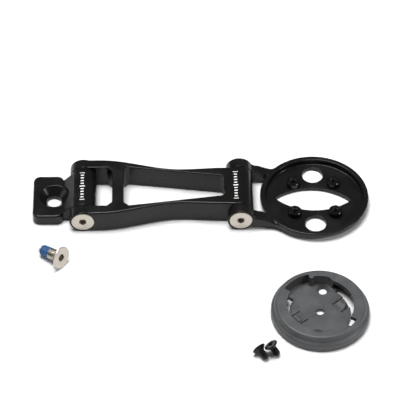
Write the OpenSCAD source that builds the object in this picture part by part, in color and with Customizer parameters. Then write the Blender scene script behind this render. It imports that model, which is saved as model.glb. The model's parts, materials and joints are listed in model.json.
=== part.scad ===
// Folding out-front mount for a handlebar computer, laid out flat as a kit.
// Millimetres. The origin is on the axis of the base plate's bolt hole, on the
// face that bolts down. +X runs along the mount towards the dish and +Z is up.

/* [Hinges] */
// Outside radius of the ears and knuckles
hinge_r = 5.85; // [5.5:0.05:6.5]
// Distance from the base plate's bolt hole to the first hinge axis
base_reach = 13; // [12.5:0.5:18]
// Distance between the two hinge axes
hinge_span = 69.5; // [64:0.5:90]
// Width over the two ears of a fork
fork_w = 33; // [30:0.5:38]
// Width of the knuckle that turns between the ears
knuckle_w = 22.4; // [20:0.2:24]
// Room for one friction washer beside the knuckle
washer_room = 0.3; // [0.2:0.05:0.5]

/* [Base plate] */
// Width of the base plate
plate_w = 24.8; // [20:0.1:26]
// Thickness of the base plate
plate_t = 5.3; // [4:0.1:6]
// Distance from the bolt hole to the plate's free end
plate_end = 9.2; // [8:0.1:12]
// Radius of the plate's corners
plate_corner_r = 3; // [1:0.5:4]
// Radius of the bolt hole
bolt_hole_r = 3.3; // [2.7:0.1:3.5]
// Radius of the countersink at the top face
bolt_sink_r = 6.6; // [5.5:0.1:6.8]

/* [Arm] */
// Height of the rails
rail_h = 11.2; // [8:0.1:11.4]
// Width over the rails at the waist
waist_w = 20.8; // [19:0.2:22]
// Width of the cross bar along the arm
crossbar_w = 5.1; // [3:0.1:8]
// Length of the chamfer in the windows' corners
window_chamfer = 2.2; // [0.5:0.1:3]

/* [Head] */
// Distance from the second hinge axis to the middle of the dish
head_reach = 33.1; // [32:0.1:40]
// Outside radius of the dish
dish_r = 24.1; // [23.5:0.1:26]
// Width of the dish's rim
rim_w = 2.3; // [1.5:0.1:3]
// Height of the dish's rim
rim_h = 4.6; // [4:0.1:6]
// Thickness of the dish's floor
floor_t = 1.8; // [1.5:0.1:2.5]
// Length of the pointed hole, before its blunt end is rounded
lens_len = 34; // [24:0.2:35]
// Width of the pointed hole
lens_w = 13.6; // [8:0.2:14]
// Radius of the two side holes
side_hole_r = 4.65; // [3:0.05:5]
// Distance from the middle of the dish to a side hole
side_hole_y = 14.8; // [14:0.1:16]

/* [Standoffs] */
// Diameter of the circle that the standoffs stand on
standoff_pcd = 25.4; // [24:0.1:28]
// Outside radius of a standoff
standoff_r = 2.95; // [2.5:0.05:3.2]
// Height of a standoff above the floor of the dish
standoff_h = 2.6; // [2:0.1:4]
// Radius of the tapped hole in a standoff
tapped_r = 1.25; // [1.2:0.05:1.4]

/* [Insert] */
// Radius of the skirt that drops into the dish
skirt_r = 21.05; // [20:0.05:21.4]
// Radius of the cap above the skirt
cap_r = 19.6; // [19:0.1:20]
// Height of the insert
insert_h = 7; // [6.5:0.1:9]
// Radius of the bayonet opening between the lips
lip_r = 14.3; // [14:0.1:15]
// Radius that the computer's tabs turn in
tab_r = 17.3; // [16.5:0.1:17.6]

/* [Hidden] */
$fn = 64;

// Finishes
anodised = [0.10, 0.10, 0.11];
steel = [0.78, 0.77, 0.74];
black_steel = [0.14, 0.14, 0.15];
nylon = [0.30, 0.31, 0.33];
washer_bronze = [0.55, 0.42, 0.22];
patch_blue = [0.10, 0.30, 0.62];

// Places along the mount
hinge_1_x = base_reach;
hinge_2_x = hinge_1_x + hinge_span;
dish_x = hinge_2_x + head_reach;
far = 100;
cut_over = 0.2;

// Hinge fits
run_gap = 0.05;
pivot_r = 2.5;
pivot_bore_r = pivot_r + run_gap;
ear_in = knuckle_w / 2 + washer_room;
ear_out = fork_w / 2;
washer_r = 5.2;
pivot_len = fork_w - 1;
pivot_head_r = 5;
seat_gap = 0.02;
head_land = 0.4;
sink_rim_gap = 0.25;
tip_share = 0.2;

// Flat head screws: length, head radius, thread radius, hex across flats, hex depth
pivot_size = [pivot_len, pivot_head_r, pivot_r, 3, 2.2];
small_size = [6, 3, 1.5, 2, 1.1];
large_size = [12, 5, 2.5, 3, 2.2];

// Base plate
neck_w = 20;
ramp_x = 4.3;
ramp_foot_x = ramp_x - 1;
tangent = hinge_r * sqrt(0.5);
bolt_land = plate_t - (bolt_sink_r - bolt_hole_r);

// Arm outline: the rails narrow from the fork to the waist, then widen a little
fork_end_x = hinge_1_x + 7;
waist_x = hinge_1_x + 44;
knuckle_end_x = hinge_2_x - 6.5;
outline_steps = 18;
window_1_end = hinge_1_x + 12.9;
window_2_start = window_1_end + crossbar_w;
window_2_end = hinge_2_x - 6.5;
window_2_half_start = 11.6;
window_2_half_end = 6.2;
window_2_end_r = 3;

// Head
dish_edge = 2.4;
neck_in = 11.8;
neck_bottom = 1.6;
neck_top = 7.2;
neck_blend_r = 10;
ear_blend_r = 4;
neck_level = 0.2;
neck_slope_end = dish_x - 18.2;
lens_turn = -3;
lens_shift = -0.5;
lens_end_r = 1.2;
lens_r = (pow(lens_len / 2, 2) + pow(lens_w / 2, 2)) / lens_w;
shank_r = 2.2;
press_gap = 0.01;

// Insert
insert_x = 114.8;
insert_y = -66.1;
insert_turn = -8.4;
insert_recess = 0.3;
insert_floor = 1.8;
insert_wall_in = 19.2;
skirt_h = 3.9;
step_h = 4.5;
cap_edge_r = 1.2;
lip_under = 4.9;
lip_from = -22;
lip_to = 72;
driver_from = 86;
lip_overrun = 1;
driver_r = 15.8;
driver_to = 107;
bump_r = 14.9;
bump_to = 113;
slot_in = 13.1;
slot_out = 16.4;
slot_from = -25;
slot_to = 66;
screw_hole_r = 1.7;
screw_sink_r = 3.1;
screw_pad_r = 4.4;
centre_hole_r = 1.8;
tongue_turn = 47;
tongue_root = 6.75;
tongue_w = 6;
tongue_t = 1;
tongue_slit = 0.5;
tongue_root_gap = 0.05;
tongue_tip_gap = 0.5;
detent_w = 4;
detent_h = 0.7;
detent_sink = 0.2;
detent_ramp = 1.6;
detent_from = 3.1;
detent_to = 4.3;

// Loose screws, each given by its head's centre and the way its head faces
lying_screw_at = [87.7, -86.9];
lying_screw_heading = 126;
leaning_screw_at = [92.7, -87.2, 5.45];
leaning_screw_heading = 149.7;
leaning_screw_tilt = 38.6;
base_screw_at = [4.1, -36.6];
base_screw_heading = -39;
patch_from = 6;
patch_to = 11.1;
patch_groove_r = 2.25;
patch_r = 2.52;

// ---- Helpers ----

function smooth(t) = (1 - cos(180 * t)) / 2;
function lerp(a, b, t) = a + (b - a) * t;

// Points of an arc, from angle a to angle b
function arc(cx, cy, r, a, b, n) =
    [for (i = [0:n]) [cx + r * cos(lerp(a, b, i / n)), cy + r * sin(lerp(a, b, i / n))]];

// Reflects a run of outline points across the X axis, in reverse order
function mirrored(points) = [for (i = [len(points) - 1:-1:0]) [points[i][0], -points[i][1]]];

// Puts a shape's +Z along -Y, on a hinge axis
module on_hinge(x) translate([x, 0, hinge_r]) rotate([90, 0, 0]) children();

// Extrudes a side view, drawn with X along the mount and Y up, between two widths
module side_extrude(y_from, y_to)
    translate([0, y_to, 0]) rotate([90, 0, 0]) linear_extrude(y_to - y_from) children();

module both_sides() {
    children();
    mirror([0, 1, 0]) children();
}

// Sector of a circle
module pie(r, a, b) {
    steps = 16;
    polygon(concat([[0, 0]], arc(0, 0, r, a, b, steps)));
}

// Flat head screw: the head's face is at the origin and faces +Z
module flat_head_screw(size) {
    length = size[0];
    head_r = size[1];
    thread_r = size[2];
    cone_h = head_r - thread_r;
    tip = thread_r * tip_share;
    difference() {
        union() {
            translate([0, 0, -head_land]) cylinder(r = head_r, h = head_land);
            translate([0, 0, -head_land - cone_h]) cylinder(r1 = thread_r, r2 = head_r, h = cone_h);
            translate([0, 0, tip - length]) cylinder(r = thread_r, h = length - head_land - cone_h - tip);
            translate([0, 0, -length]) cylinder(r1 = thread_r - tip, r2 = thread_r, h = tip);
        }
        translate([0, 0, -size[4]]) cylinder(r = size[3] / sqrt(3), h = size[4] + 1, $fn = 6);
    }
}

// Holes that a pivot screw needs along its hinge axis: the head's seat in the
// near ear, and a bore of the given radius from there to beyond the far ear
module pivot_holes(x, bore_r) {
    cone_h = pivot_head_r - pivot_r;
    on_hinge(x) {
        cylinder(r = bore_r, h = far, center = true);
        translate([0, 0, ear_out - head_land - seat_gap])
            cylinder(r = pivot_head_r + sink_rim_gap, h = far);
        translate([0, 0, ear_out - head_land - cone_h - seat_gap])
            cylinder(r1 = pivot_r, r2 = pivot_head_r, h = cone_h);
    }
}

// ---- Base plate ----

module base_outline() {
    left = -plate_end + plate_corner_r;
    right = ramp_x - plate_corner_r;
    side = plate_w / 2 - plate_corner_r;
    translate([left, -plate_w / 2]) square([right - left, plate_w]);
    translate([-plate_end, -side]) square([plate_end + ramp_x, 2 * side]);
    for (x = [left, right], y = [-side, side])
        translate([x, y]) circle(plate_corner_r);
}

module base_neck_side() {
    polygon([
        [ramp_foot_x, 0],
        [hinge_1_x, 0],
        [hinge_1_x, hinge_r],
        [hinge_1_x - tangent, hinge_r + tangent],
        [ramp_x, plate_t],
        [ramp_foot_x, plate_t]
    ]);
}

module base_plate() {
    color(anodised)
    difference() {
        union() {
            linear_extrude(plate_t) base_outline();
            side_extrude(-neck_w / 2, neck_w / 2) base_neck_side();
            on_hinge(hinge_1_x) cylinder(r = hinge_r, h = knuckle_w, center = true);
        }
        translate([0, 0, -1]) cylinder(r = bolt_hole_r, h = far);
        translate([0, 0, bolt_land])
            cylinder(r1 = bolt_hole_r, r2 = bolt_sink_r, h = bolt_sink_r - bolt_hole_r);
        translate([0, 0, plate_t]) cylinder(r = bolt_sink_r, h = far);
        on_hinge(hinge_1_x) cylinder(r = pivot_bore_r, h = far, center = true);
    }
}

// ---- Arm ----

// Half the width over the rails, at a place along the mount
function rail_half(x) =
    x < waist_x
        ? lerp(fork_w / 2, waist_w / 2, smooth((x - fork_end_x) / (waist_x - fork_end_x)))
        : lerp(waist_w / 2, knuckle_w / 2, smooth((x - waist_x) / (knuckle_end_x - waist_x)));

rail_points = concat(
    [[hinge_1_x, ear_out]],
    [for (i = [0:outline_steps])
        let (x = lerp(fork_end_x, waist_x, i / outline_steps)) [x, rail_half(x)]],
    [for (i = [1:outline_steps])
        let (x = lerp(waist_x, knuckle_end_x, i / outline_steps)) [x, rail_half(x)]],
    [[hinge_2_x, knuckle_w / 2]]
);

module arm_outline() polygon(concat(rail_points, mirrored(rail_points)));

module fork_slot() {
    back = hinge_1_x - 2 * hinge_r;
    points = [
        [back, ear_in],
        [window_1_end - window_chamfer, ear_in],
        [window_1_end, ear_in - window_chamfer]
    ];
    polygon(concat(points, mirrored(points)));
}

module long_window() {
    end_x = window_2_end - window_2_end_r;
    points = [
        [window_2_start, window_2_half_start - window_chamfer],
        [window_2_start + window_chamfer, window_2_half_start]
    ];
    hull() {
        polygon(concat(points, mirrored(points)));
        for (side = [-1, 1])
            translate([end_x, side * (window_2_half_end - window_2_end_r)]) circle(window_2_end_r);
    }
}

module hinge_arm() {
    color(anodised)
    difference() {
        union() {
            translate([0, 0, hinge_r - rail_h / 2]) linear_extrude(rail_h) arm_outline();
            on_hinge(hinge_1_x) cylinder(r = hinge_r, h = fork_w, center = true);
            on_hinge(hinge_2_x) cylinder(r = hinge_r, h = knuckle_w, center = true);
        }
        translate([0, 0, -1]) linear_extrude(far) fork_slot();
        translate([0, 0, -1]) linear_extrude(far) long_window();

        pivot_holes(hinge_1_x, pivot_bore_r);
        on_hinge(hinge_2_x) cylinder(r = pivot_bore_r, h = far, center = true);
    }
}

// ---- Head ----

module dish_section() {
    foot = dish_r - dish_edge;
    rim_in = dish_r - rim_w;
    polygon([
        [0, 0], [foot, 0], [dish_r, dish_edge], [dish_r, rim_h],
        [rim_in, rim_h], [rim_in, floor_t], [0, floor_t]
    ]);
}

// One side's neck in plan, from the ear to the dish, with a concave blend
module neck_outline() {
    reach = dish_r + neck_blend_r;
    rise = ear_out + neck_blend_r;
    blend_x = dish_x - sqrt(reach * reach - rise * rise);
    blend_to = acos(rise / reach) - 90;
    inner_x = dish_x - sqrt(pow(dish_r - rim_w / 2, 2) - neck_in * neck_in);
    polygon(concat(
        [[hinge_2_x, neck_in], [hinge_2_x, ear_out]],
        arc(blend_x, rise, neck_blend_r, -90, blend_to, 10),
        [[inner_x, neck_in]]
    ));
}

// Both necks in side view, with a concave blend down from the ear
module neck_side() {
    reach = hinge_r + ear_blend_r;
    drop = neck_top + ear_blend_r - hinge_r;
    blend_x = hinge_2_x + sqrt(reach * reach - drop * drop);
    blend_from = 180 + asin(drop / reach);
    polygon(concat(
        [[dish_x, neck_bottom], [dish_x, rim_h], [neck_slope_end, rim_h],
         [blend_x + neck_level, neck_top]],
        arc(blend_x, neck_top + ear_blend_r, ear_blend_r, 270, blend_from, 10),
        [[hinge_2_x, hinge_r], [hinge_2_x, neck_bottom]]
    ));
}

module head_ear() {
    on_hinge(hinge_2_x) translate([0, 0, ear_in]) cylinder(r = hinge_r, h = ear_out - ear_in);
}

// Two arcs that meet in a point at one end and run into a small arc at the other
module lens() {
    drop = lens_r - lens_w / 2;
    half = asin(lens_len / 2 / lens_r);
    end_x = sqrt(pow(lens_r - lens_end_r, 2) - drop * drop);
    turn = atan(drop / end_x);
    upper = arc(0, -drop, lens_r, 90 - half, 180 - turn, 32);
    lower = arc(0, drop, lens_r, 180 + turn, 270 + half, 32);
    end = arc(-end_x, 0, lens_end_r, 180 - turn, 180 + turn, 6);
    translate([dish_x, 0, -1]) rotate(lens_turn) translate([lens_shift, 0, 0]) linear_extrude(far)
        polygon(concat(upper, [for (i = [1:5]) end[i]], [for (i = [0:31]) lower[i]]));
}

module at_standoff(i) rotate([0, 0, 45 + 90 * i]) translate([standoff_pcd / 2, 0, 0]) children();

module head_plate() {
    color(anodised)
    difference() {
        union() {
            translate([dish_x, 0, 0]) rotate_extrude($fn = 128) dish_section();
            difference() {
                intersection() {
                    linear_extrude(2 * hinge_r) both_sides() neck_outline();
                    side_extrude(-far / 2, far / 2) neck_side();
                }
                translate([dish_x, 0, floor_t / 2]) cylinder(r = dish_r - rim_w, h = far, $fn = 128);
            }
            both_sides() head_ear();
        }
        lens();
        both_sides() translate([dish_x, side_hole_y, -1]) cylinder(r = side_hole_r, h = far);
        translate([dish_x, 0, -1])
            for (i = [0:3]) at_standoff(i) cylinder(r = shank_r + press_gap, h = far);
        pivot_holes(hinge_2_x, pivot_bore_r);
    }
}

module standoff(i) {
    color(anodised)
    translate([dish_x, 0, 0]) at_standoff(i)
    difference() {
        union() {
            cylinder(r = shank_r, h = floor_t + standoff_h);
            translate([0, 0, floor_t]) cylinder(r = standoff_r, h = standoff_h);
        }
        translate([0, 0, -1]) cylinder(r = tapped_r, h = far);
    }
}

// ---- Hinge hardware ----

module pivot_screw(x) {
    color(steel)
    translate([0, -ear_out, 0]) on_hinge(x)
        flat_head_screw(pivot_size);
}

module washer(x, side) {
    thick = washer_room - run_gap;
    color(washer_bronze)
    translate([0, side * (ear_in - thick / 2), 0]) on_hinge(x)
    difference() {
        cylinder(r = washer_r, h = thick, center = true);
        cylinder(r = pivot_r + 2 * run_gap, h = 2, center = true);
    }
}

// ---- Insert ----

module on_insert() translate([insert_x, insert_y, 0]) rotate([0, 0, insert_turn]) children();

module twice() {
    children();
    rotate([0, 0, 180]) children();
}

module insert_section() {
    polygon(concat(
        [[0, insert_recess], [insert_wall_in, insert_recess], [insert_wall_in, 0], [skirt_r, 0],
         [skirt_r, skirt_h], [skirt_r - (step_h - skirt_h), step_h], [cap_r, step_h]],
        arc(cap_r - cap_edge_r, insert_h - cap_edge_r, cap_edge_r, 0, 90, 8),
        [[0, insert_h]]
    ));
}

// The lip's far end, which eases out to the driver notch
module lip_ramp() {
    steps = 6;
    polygon(concat([[0, 0]], [
        for (i = [0:steps])
            let (share = i / steps, a = lerp(lip_to, driver_from + lip_overrun * share, share))
                lerp(lip_r, driver_r, smooth(share)) * [cos(a), sin(a)]
    ]));
}

module bayonet_opening() {
    circle(lip_r);
    twice() {
        pie(driver_r, driver_from, driver_to);
        lip_ramp();
        pie(bump_r, driver_to - lip_overrun, bump_to + lip_overrun);
        pie(tab_r, bump_to, lip_from + 180);
    }
}

// Underside pads that seat on the standoffs
module screw_pads() {
    twice() translate([0, standoff_pcd / 2, 0]) cylinder(r = screw_pad_r, h = insert_floor);
}

module screw_hole() {
    sink_h = screw_sink_r - screw_hole_r;
    cylinder(r = screw_hole_r, h = insert_floor);
    translate([0, 0, insert_floor - sink_h]) cylinder(r1 = screw_hole_r, r2 = screw_sink_r, h = sink_h);
}

// A tongue's plan, drawn with X outwards along the tongue and narrower by a slit on each side
module tongue_plan(slit, root_gap, tip_r) {
    intersection() {
        translate([tongue_root + root_gap, slit - tongue_w]) square([slot_in, tongue_w - 2 * slit]);
        circle(tip_r);
    }
}

module insert_body() {
    color(nylon)
    on_insert() difference() {
        union() {
            rotate_extrude($fn = 128) insert_section();
            screw_pads();
        }
        translate([0, 0, insert_floor]) linear_extrude(insert_h) bayonet_opening();
        twice() {
            translate([0, 0, insert_floor]) linear_extrude(lip_under - insert_floor)
                pie(tab_r, lip_from - lip_overrun, lip_to + lip_overrun);
            linear_extrude(insert_floor + cut_over) difference() {
                pie(slot_out, slot_from, slot_to);
                circle(slot_in);
            }
            linear_extrude(insert_floor + cut_over) rotate(tongue_turn)
                tongue_plan(0, 0, slot_in + cut_over);
            translate([0, standoff_pcd / 2, 0]) screw_hole();
        }
        cylinder(r = centre_hole_r, h = insert_floor + cut_over);
    }
}

module insert_tongue(i) {
    color(nylon)
    on_insert() rotate([0, 0, tongue_turn + 180 * i]) {
        translate([0, 0, insert_floor - tongue_t]) linear_extrude(tongue_t)
            tongue_plan(tongue_slit, tongue_root_gap, slot_in - tongue_tip_gap);
        translate([tongue_root, (detent_w - tongue_w) / 2, insert_floor])
            rotate([90, 0, 0]) linear_extrude(detent_w)
            polygon([
                [detent_ramp, -detent_sink], [detent_to, -detent_sink],
                [detent_to, detent_h], [detent_from, detent_h], [detent_ramp, 0]
            ]);
    }
}

// ---- Loose screws ----

// Lays a screw down so that its head's rim and its tip touch the surface
module lay_down(at, heading, size) {
    tilt = atan((size[1] - size[2]) / (size[0] - head_land));
    translate([at[0], at[1], size[1] * cos(tilt) + head_land * sin(tilt)])
        rotate([0, 90 - tilt, heading]) children();
}

module insert_screw_1() {
    color(black_steel)
    lay_down(lying_screw_at, lying_screw_heading, small_size) flat_head_screw(small_size);
}

module insert_screw_2() {
    color(black_steel)
    translate(leaning_screw_at) rotate([0, leaning_screw_tilt, leaning_screw_heading])
        flat_head_screw(small_size);
}

module base_screw() {
    color(steel)
    lay_down(base_screw_at, base_screw_heading, large_size) difference() {
        flat_head_screw(large_size);
        translate([0, 0, -patch_to]) difference() {
            cylinder(r = patch_r + 1, h = patch_to - patch_from);
            translate([0, 0, -1]) cylinder(r = patch_groove_r, h = patch_to);
        }
    }
}

module thread_lock_patch() {
    color(patch_blue)
    lay_down(base_screw_at, base_screw_heading, large_size) translate([0, 0, -patch_to]) difference() {
        cylinder(r = patch_r, h = patch_to - patch_from);
        translate([0, 0, -1]) cylinder(r = patch_groove_r, h = patch_to);
    }
}

base_plate();
pivot_screw(hinge_1_x);  // base_hinge_screw
washer(hinge_1_x, -1);  // base_hinge_washer_near
washer(hinge_1_x, 1);  // base_hinge_washer_far
hinge_arm();
pivot_screw(hinge_2_x);  // head_hinge_screw
washer(hinge_2_x, -1);  // head_hinge_washer_near
washer(hinge_2_x, 1);  // head_hinge_washer_far
head_plate();
standoff(0);  // standoff_1
standoff(1);  // standoff_2
standoff(2);  // standoff_3
standoff(3);  // standoff_4
insert_body();
insert_tongue(0);  // insert_tongue_1
insert_tongue(1);  // insert_tongue_2
insert_screw_1();
insert_screw_2();
base_screw();
thread_lock_patch();
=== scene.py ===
# %% [markdown]
# # A folding mount for a cycling computer
# The object is a small machined bracket in three hinged pieces, laid out flat, with the nylon
# insert that a computer locks into and three loose screws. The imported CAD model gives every
# size, place and joint. This file gives the looks, and it works in the same frame, in metres.

# %% Load the frame
import json
from math import asin, atan2, cos, degrees, pi, radians, sin, sqrt, tan

import bmesh
import bpy
import numpy as np
from mathutils import Matrix, Vector


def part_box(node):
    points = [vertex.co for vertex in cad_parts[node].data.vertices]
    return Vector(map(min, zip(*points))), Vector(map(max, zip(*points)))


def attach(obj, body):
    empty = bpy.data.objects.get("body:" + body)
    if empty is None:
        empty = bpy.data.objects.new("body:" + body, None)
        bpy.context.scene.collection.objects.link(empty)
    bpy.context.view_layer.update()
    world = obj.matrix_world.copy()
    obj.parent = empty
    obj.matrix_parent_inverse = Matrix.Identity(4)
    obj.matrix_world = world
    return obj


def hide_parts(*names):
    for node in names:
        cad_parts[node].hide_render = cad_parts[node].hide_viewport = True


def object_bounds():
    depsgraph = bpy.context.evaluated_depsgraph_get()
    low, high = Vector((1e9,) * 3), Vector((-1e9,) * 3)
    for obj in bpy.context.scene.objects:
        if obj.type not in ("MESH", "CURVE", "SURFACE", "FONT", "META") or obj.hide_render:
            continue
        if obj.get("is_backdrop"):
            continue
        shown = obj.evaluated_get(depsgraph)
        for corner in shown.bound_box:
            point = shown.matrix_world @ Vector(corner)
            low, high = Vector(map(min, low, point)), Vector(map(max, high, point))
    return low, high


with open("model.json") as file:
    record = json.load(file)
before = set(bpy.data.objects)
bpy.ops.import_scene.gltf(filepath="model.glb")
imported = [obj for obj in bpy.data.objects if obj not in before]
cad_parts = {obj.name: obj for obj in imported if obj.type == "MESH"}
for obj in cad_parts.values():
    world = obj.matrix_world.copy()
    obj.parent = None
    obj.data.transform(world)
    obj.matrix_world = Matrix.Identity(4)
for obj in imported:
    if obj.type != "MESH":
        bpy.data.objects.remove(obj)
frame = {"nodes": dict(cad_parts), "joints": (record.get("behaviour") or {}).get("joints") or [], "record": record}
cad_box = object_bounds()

# %% [markdown]
# ## Where things are
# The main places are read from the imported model. The hinge axes come from the joints, the dish
# and the insert from the mounts, and the widths from the CAD nodes' own boxes. Smaller measures,
# such as wall heights and corner radii, are typed in and follow the CAD model. The meshes are
# drawn in millimetres, because a boolean is steadier on shapes that are tens of units across,
# and each one is scaled to metres when it is finished.

# %% Read the driving places
mm = 0.001
joints = {joint["name"]: joint for joint in frame["joints"]}
mounts = {mount["name"]: mount for mount in frame["record"]["mounts"]}


def node_box(node):
    """A CAD node's lowest and highest corners, in millimetres."""
    low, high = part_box(node)
    return low / mm, high / mm


def place_of(item):
    """A joint's or a mount's point, in millimetres."""
    return Vector(item["pos_m"]) / mm


hinge_1_x = place_of(joints["base_hinge"]).x
hinge_2_x = place_of(joints["head_hinge"]).x
hinge_r = place_of(joints["base_hinge"]).z
dish_x = place_of(mounts["insert_standoffs"]).x
ear_out = node_box("hinge_arm")[1].y
ear_in = node_box("base_hinge_washer_far")[1].y
washer_play = 0.05
knuckle_half = node_box("base_hinge_washer_far")[0].y - washer_play
plate_low, plate_high = node_box("base_plate")
print(f"hinges at x = {hinge_1_x:.1f} and {hinge_2_x:.1f} mm")
print(f"ears from y = {ear_in:.1f} to {ear_out:.1f} mm")

# %% [markdown]
# ## Outlines with softened corners
# A machined part is mostly flat outlines cut through a plate, with every corner a small arc. So
# an outline here is a short list of corners, each with its own radius, and one function turns it
# into a smooth loop of points. The arc touches both sides of its corner, so nothing kinks.

# %% Outline helpers


def soften(corners, steps=6, closed=True):
    """Turn corners (x, y, radius) into a loop of points, with an arc at each corner."""
    points = []
    for i, (x, y, radius) in enumerate(corners):
        corner = Vector((x, y))
        if radius == 0 or (not closed and i in (0, len(corners) - 1)):
            points.append((x, y))
            continue
        back = (Vector(corners[i - 1][:2]) - corner).normalized()
        on = (Vector(corners[(i + 1) % len(corners)][:2]) - corner).normalized()
        half = back.angle(on) / 2
        middle = corner + (back + on).normalized() * (radius / sin(half))
        start = corner + back * (radius / tan(half)) - middle
        end = corner + on * (radius / tan(half)) - middle
        begin = atan2(start.y, start.x)
        turn = (atan2(end.y, end.x) - begin + pi) % (2 * pi) - pi
        for k in range(steps + 1):
            angle = begin + turn * k / steps
            points.append((middle.x + radius * cos(angle), middle.y + radius * sin(angle)))
    return points


def arc(x, y, radius, start, stop, steps):
    """Points along an arc, with its angles in degrees."""
    angles = [radians(start + (stop - start) * k / steps) for k in range(steps + 1)]
    return [(x + radius * cos(a), y + radius * sin(a)) for a in angles]


def mirrored(points):
    """The same run of points on the other side of the mount, in reverse order."""
    return [(x, -y) for x, y in reversed(points)]


def inset(loop, distance):
    """Move every point of an anticlockwise loop inwards, each by its own distance."""
    before = loop - np.roll(loop, 1, 0)
    after = np.roll(loop, -1, 0) - loop
    normals = []
    for edge in (before, after):
        edge = edge / np.linalg.norm(edge, axis=1, keepdims=True)
        normals.append(np.stack([-edge[:, 1], edge[:, 0]], 1))
    both = normals[0] + normals[1]
    both = both / (1 + (normals[0] * normals[1]).sum(1, keepdims=True))
    return loop + both * np.reshape(distance, (-1, 1))


square = [(0, 0, 2), (10, 0, 2), (10, 10, 2), (0, 10, 2)]
print("a 10 mm square with 2 mm corners has", len(soften(square)), "points")

# %% [markdown]
# ## Two ways to make a solid
# `prism` stands an outline up between two heights. Its ease rounds the edge over, as a cutter's
# radius does, and a negative ease flares it out, which makes a cutter that leaves a rounded hole.
# `lathe` turns a profile round an axis, and it can wind a screw thread into it, because a thread
# is only a radius that rises and falls once per pitch as it goes round.

# %% Solid helpers


def new_piece(name, points, faces):
    """A closed mesh object, with all its faces turned outwards."""
    mesh = bpy.data.meshes.new(name)
    mesh.from_pydata([tuple(p) for p in points], [], faces)
    build = bmesh.new()
    build.from_mesh(mesh)
    bmesh.ops.remove_doubles(build, verts=build.verts, dist=1e-5)
    bmesh.ops.recalc_face_normals(build, faces=build.faces)
    build.to_mesh(mesh)
    build.free()
    piece = bpy.data.objects.new(name, mesh)
    bpy.context.scene.collection.objects.link(piece)
    return piece


def skin(rings, count):
    """Faces over a stack of rings of points, with a cap at each end."""
    faces = [tuple(range(count)), tuple(range((rings - 1) * count, rings * count))]
    for r in range(rings - 1):
        low, high = r * count, (r + 1) * count
        for i in range(count):
            faces.append((low + i, low + (i + 1) % count, high + (i + 1) % count, high + i))
    return faces


def prism(name, outline, bottom, top, ease_bottom=0, ease_top=0, beyond=0, steps=5):
    """Stand an outline up from bottom to top, and go on straight beyond each end."""
    loop = np.array(outline, float)
    x, y = loop[:, 0], loop[:, 1]
    if (x * np.roll(y, -1) - np.roll(x, -1) * y).sum() < 0:
        loop = loop[::-1]
    rings = []
    for ease, level, way in ((ease_bottom, bottom, -1), (ease_top, top, 1)):
        ease = np.broadcast_to(np.array(ease, float), len(loop))
        angles = [radians(90 * k / steps) for k in range(steps + 1)] if np.any(ease) else [0]
        end = []
        for a in angles:
            end.append((inset(loop, ease * (1 - cos(a))), level - way * abs(ease) * (1 - sin(a))))
        if beyond:
            end.append((end[-1][0], end[-1][1] + way * beyond))
        rings += end if way > 0 else end[::-1]
    count = len(loop)
    points = []
    for ring, level in rings:
        points += [(p[0], p[1], z) for p, z in zip(ring, np.broadcast_to(level, count))]
    return new_piece(name, points, skin(len(rings), count))


def lathe(name, profile, steps=144, pitch=0, depth=0):
    """Turn (radius, height) points round Z. A third number, 0 to 1, says how much thread a point has."""
    points, rows = [], []
    for radius, height, *share in profile:
        if radius < 1e-6:
            rows.append([len(points)])
            points.append((0, 0, height))
            continue
        rows.append(list(range(len(points), len(points) + steps)))
        for i in range(steps):
            rise = 0
            if share:
                turn = (height / pitch - i / steps) % 1
                rise = depth * share[0] * min(1, 2.4 * min(turn, 1 - turn))
            angle = 2 * pi * i / steps
            points.append(((radius + rise) * cos(angle), (radius + rise) * sin(angle), height))
    ring_shaped = len(rows[0]) > 1
    faces = []
    for lower, upper in zip(rows, rows[1:] + (rows[:1] if ring_shaped else [])):
        for i in range(steps):
            j = (i + 1) % steps
            near = [lower[i % len(lower)], lower[j % len(lower)]]
            far = [upper[j % len(upper)], upper[i % len(upper)]]
            faces.append(tuple(dict.fromkeys(near + far)))
    return new_piece(name, points, [face for face in faces if len(face) > 2])


def rounded_rod(name, radius, start, stop, ease_start, ease_stop, steps=144):
    """A solid rod along Z with an eased edge at each end."""
    corners = [(0, start, 0), (radius, start, ease_start), (radius, stop, ease_stop), (0, stop, 0)]
    return lathe(name, soften(corners, steps=4, closed=False), steps)


def moved(piece, matrix):
    """Move a mesh, in millimetres."""
    piece.data.transform(matrix)
    return piece


lay_on_side = Matrix.Rotation(radians(90), 4, "X")


def on_hinge(piece, x):
    """Put a piece that was turned round Z onto a hinge axis, with its +Z towards -Y."""
    return moved(piece, Matrix.Translation((x, 0, hinge_r)) @ lay_on_side)


print("the solid helpers are ready")

# %% [markdown]
# ## Joining and cutting
# Shapes are joined and cut with booleans, and the result is baked into the mesh at once, so
# no modifier is left on a piece. Two faces in exactly one plane confuse a boolean, so shapes that
# are joined overlap or stop short by `hair`. Every edge that a tool leaves on real metal is broken
# a little, and it is that tiny facet that catches the light. So the last step adds a narrow
# bevel on the sharp edges only, and weighted normals keep the broad faces flat beside it.

# %% Joining, cutting and finishing
hair = 0.03


def bake(piece):
    """Apply every modifier on a piece."""
    bpy.context.view_layer.update()
    shown = piece.evaluated_get(bpy.context.evaluated_depsgraph_get())
    mesh = bpy.data.meshes.new_from_object(shown)
    piece.modifiers.clear()
    piece.data = mesh
    return piece


def combine(piece, way, tools):
    """Join tools to a piece with UNION, or cut them out with DIFFERENCE."""
    for tool in tools:
        modifier = piece.modifiers.new(way, "BOOLEAN")
        modifier.operation = way
        modifier.solver = "MANIFOLD"
        modifier.object = tool
    bake(piece)
    for tool in tools:
        bpy.data.objects.remove(tool)
    return piece


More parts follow.
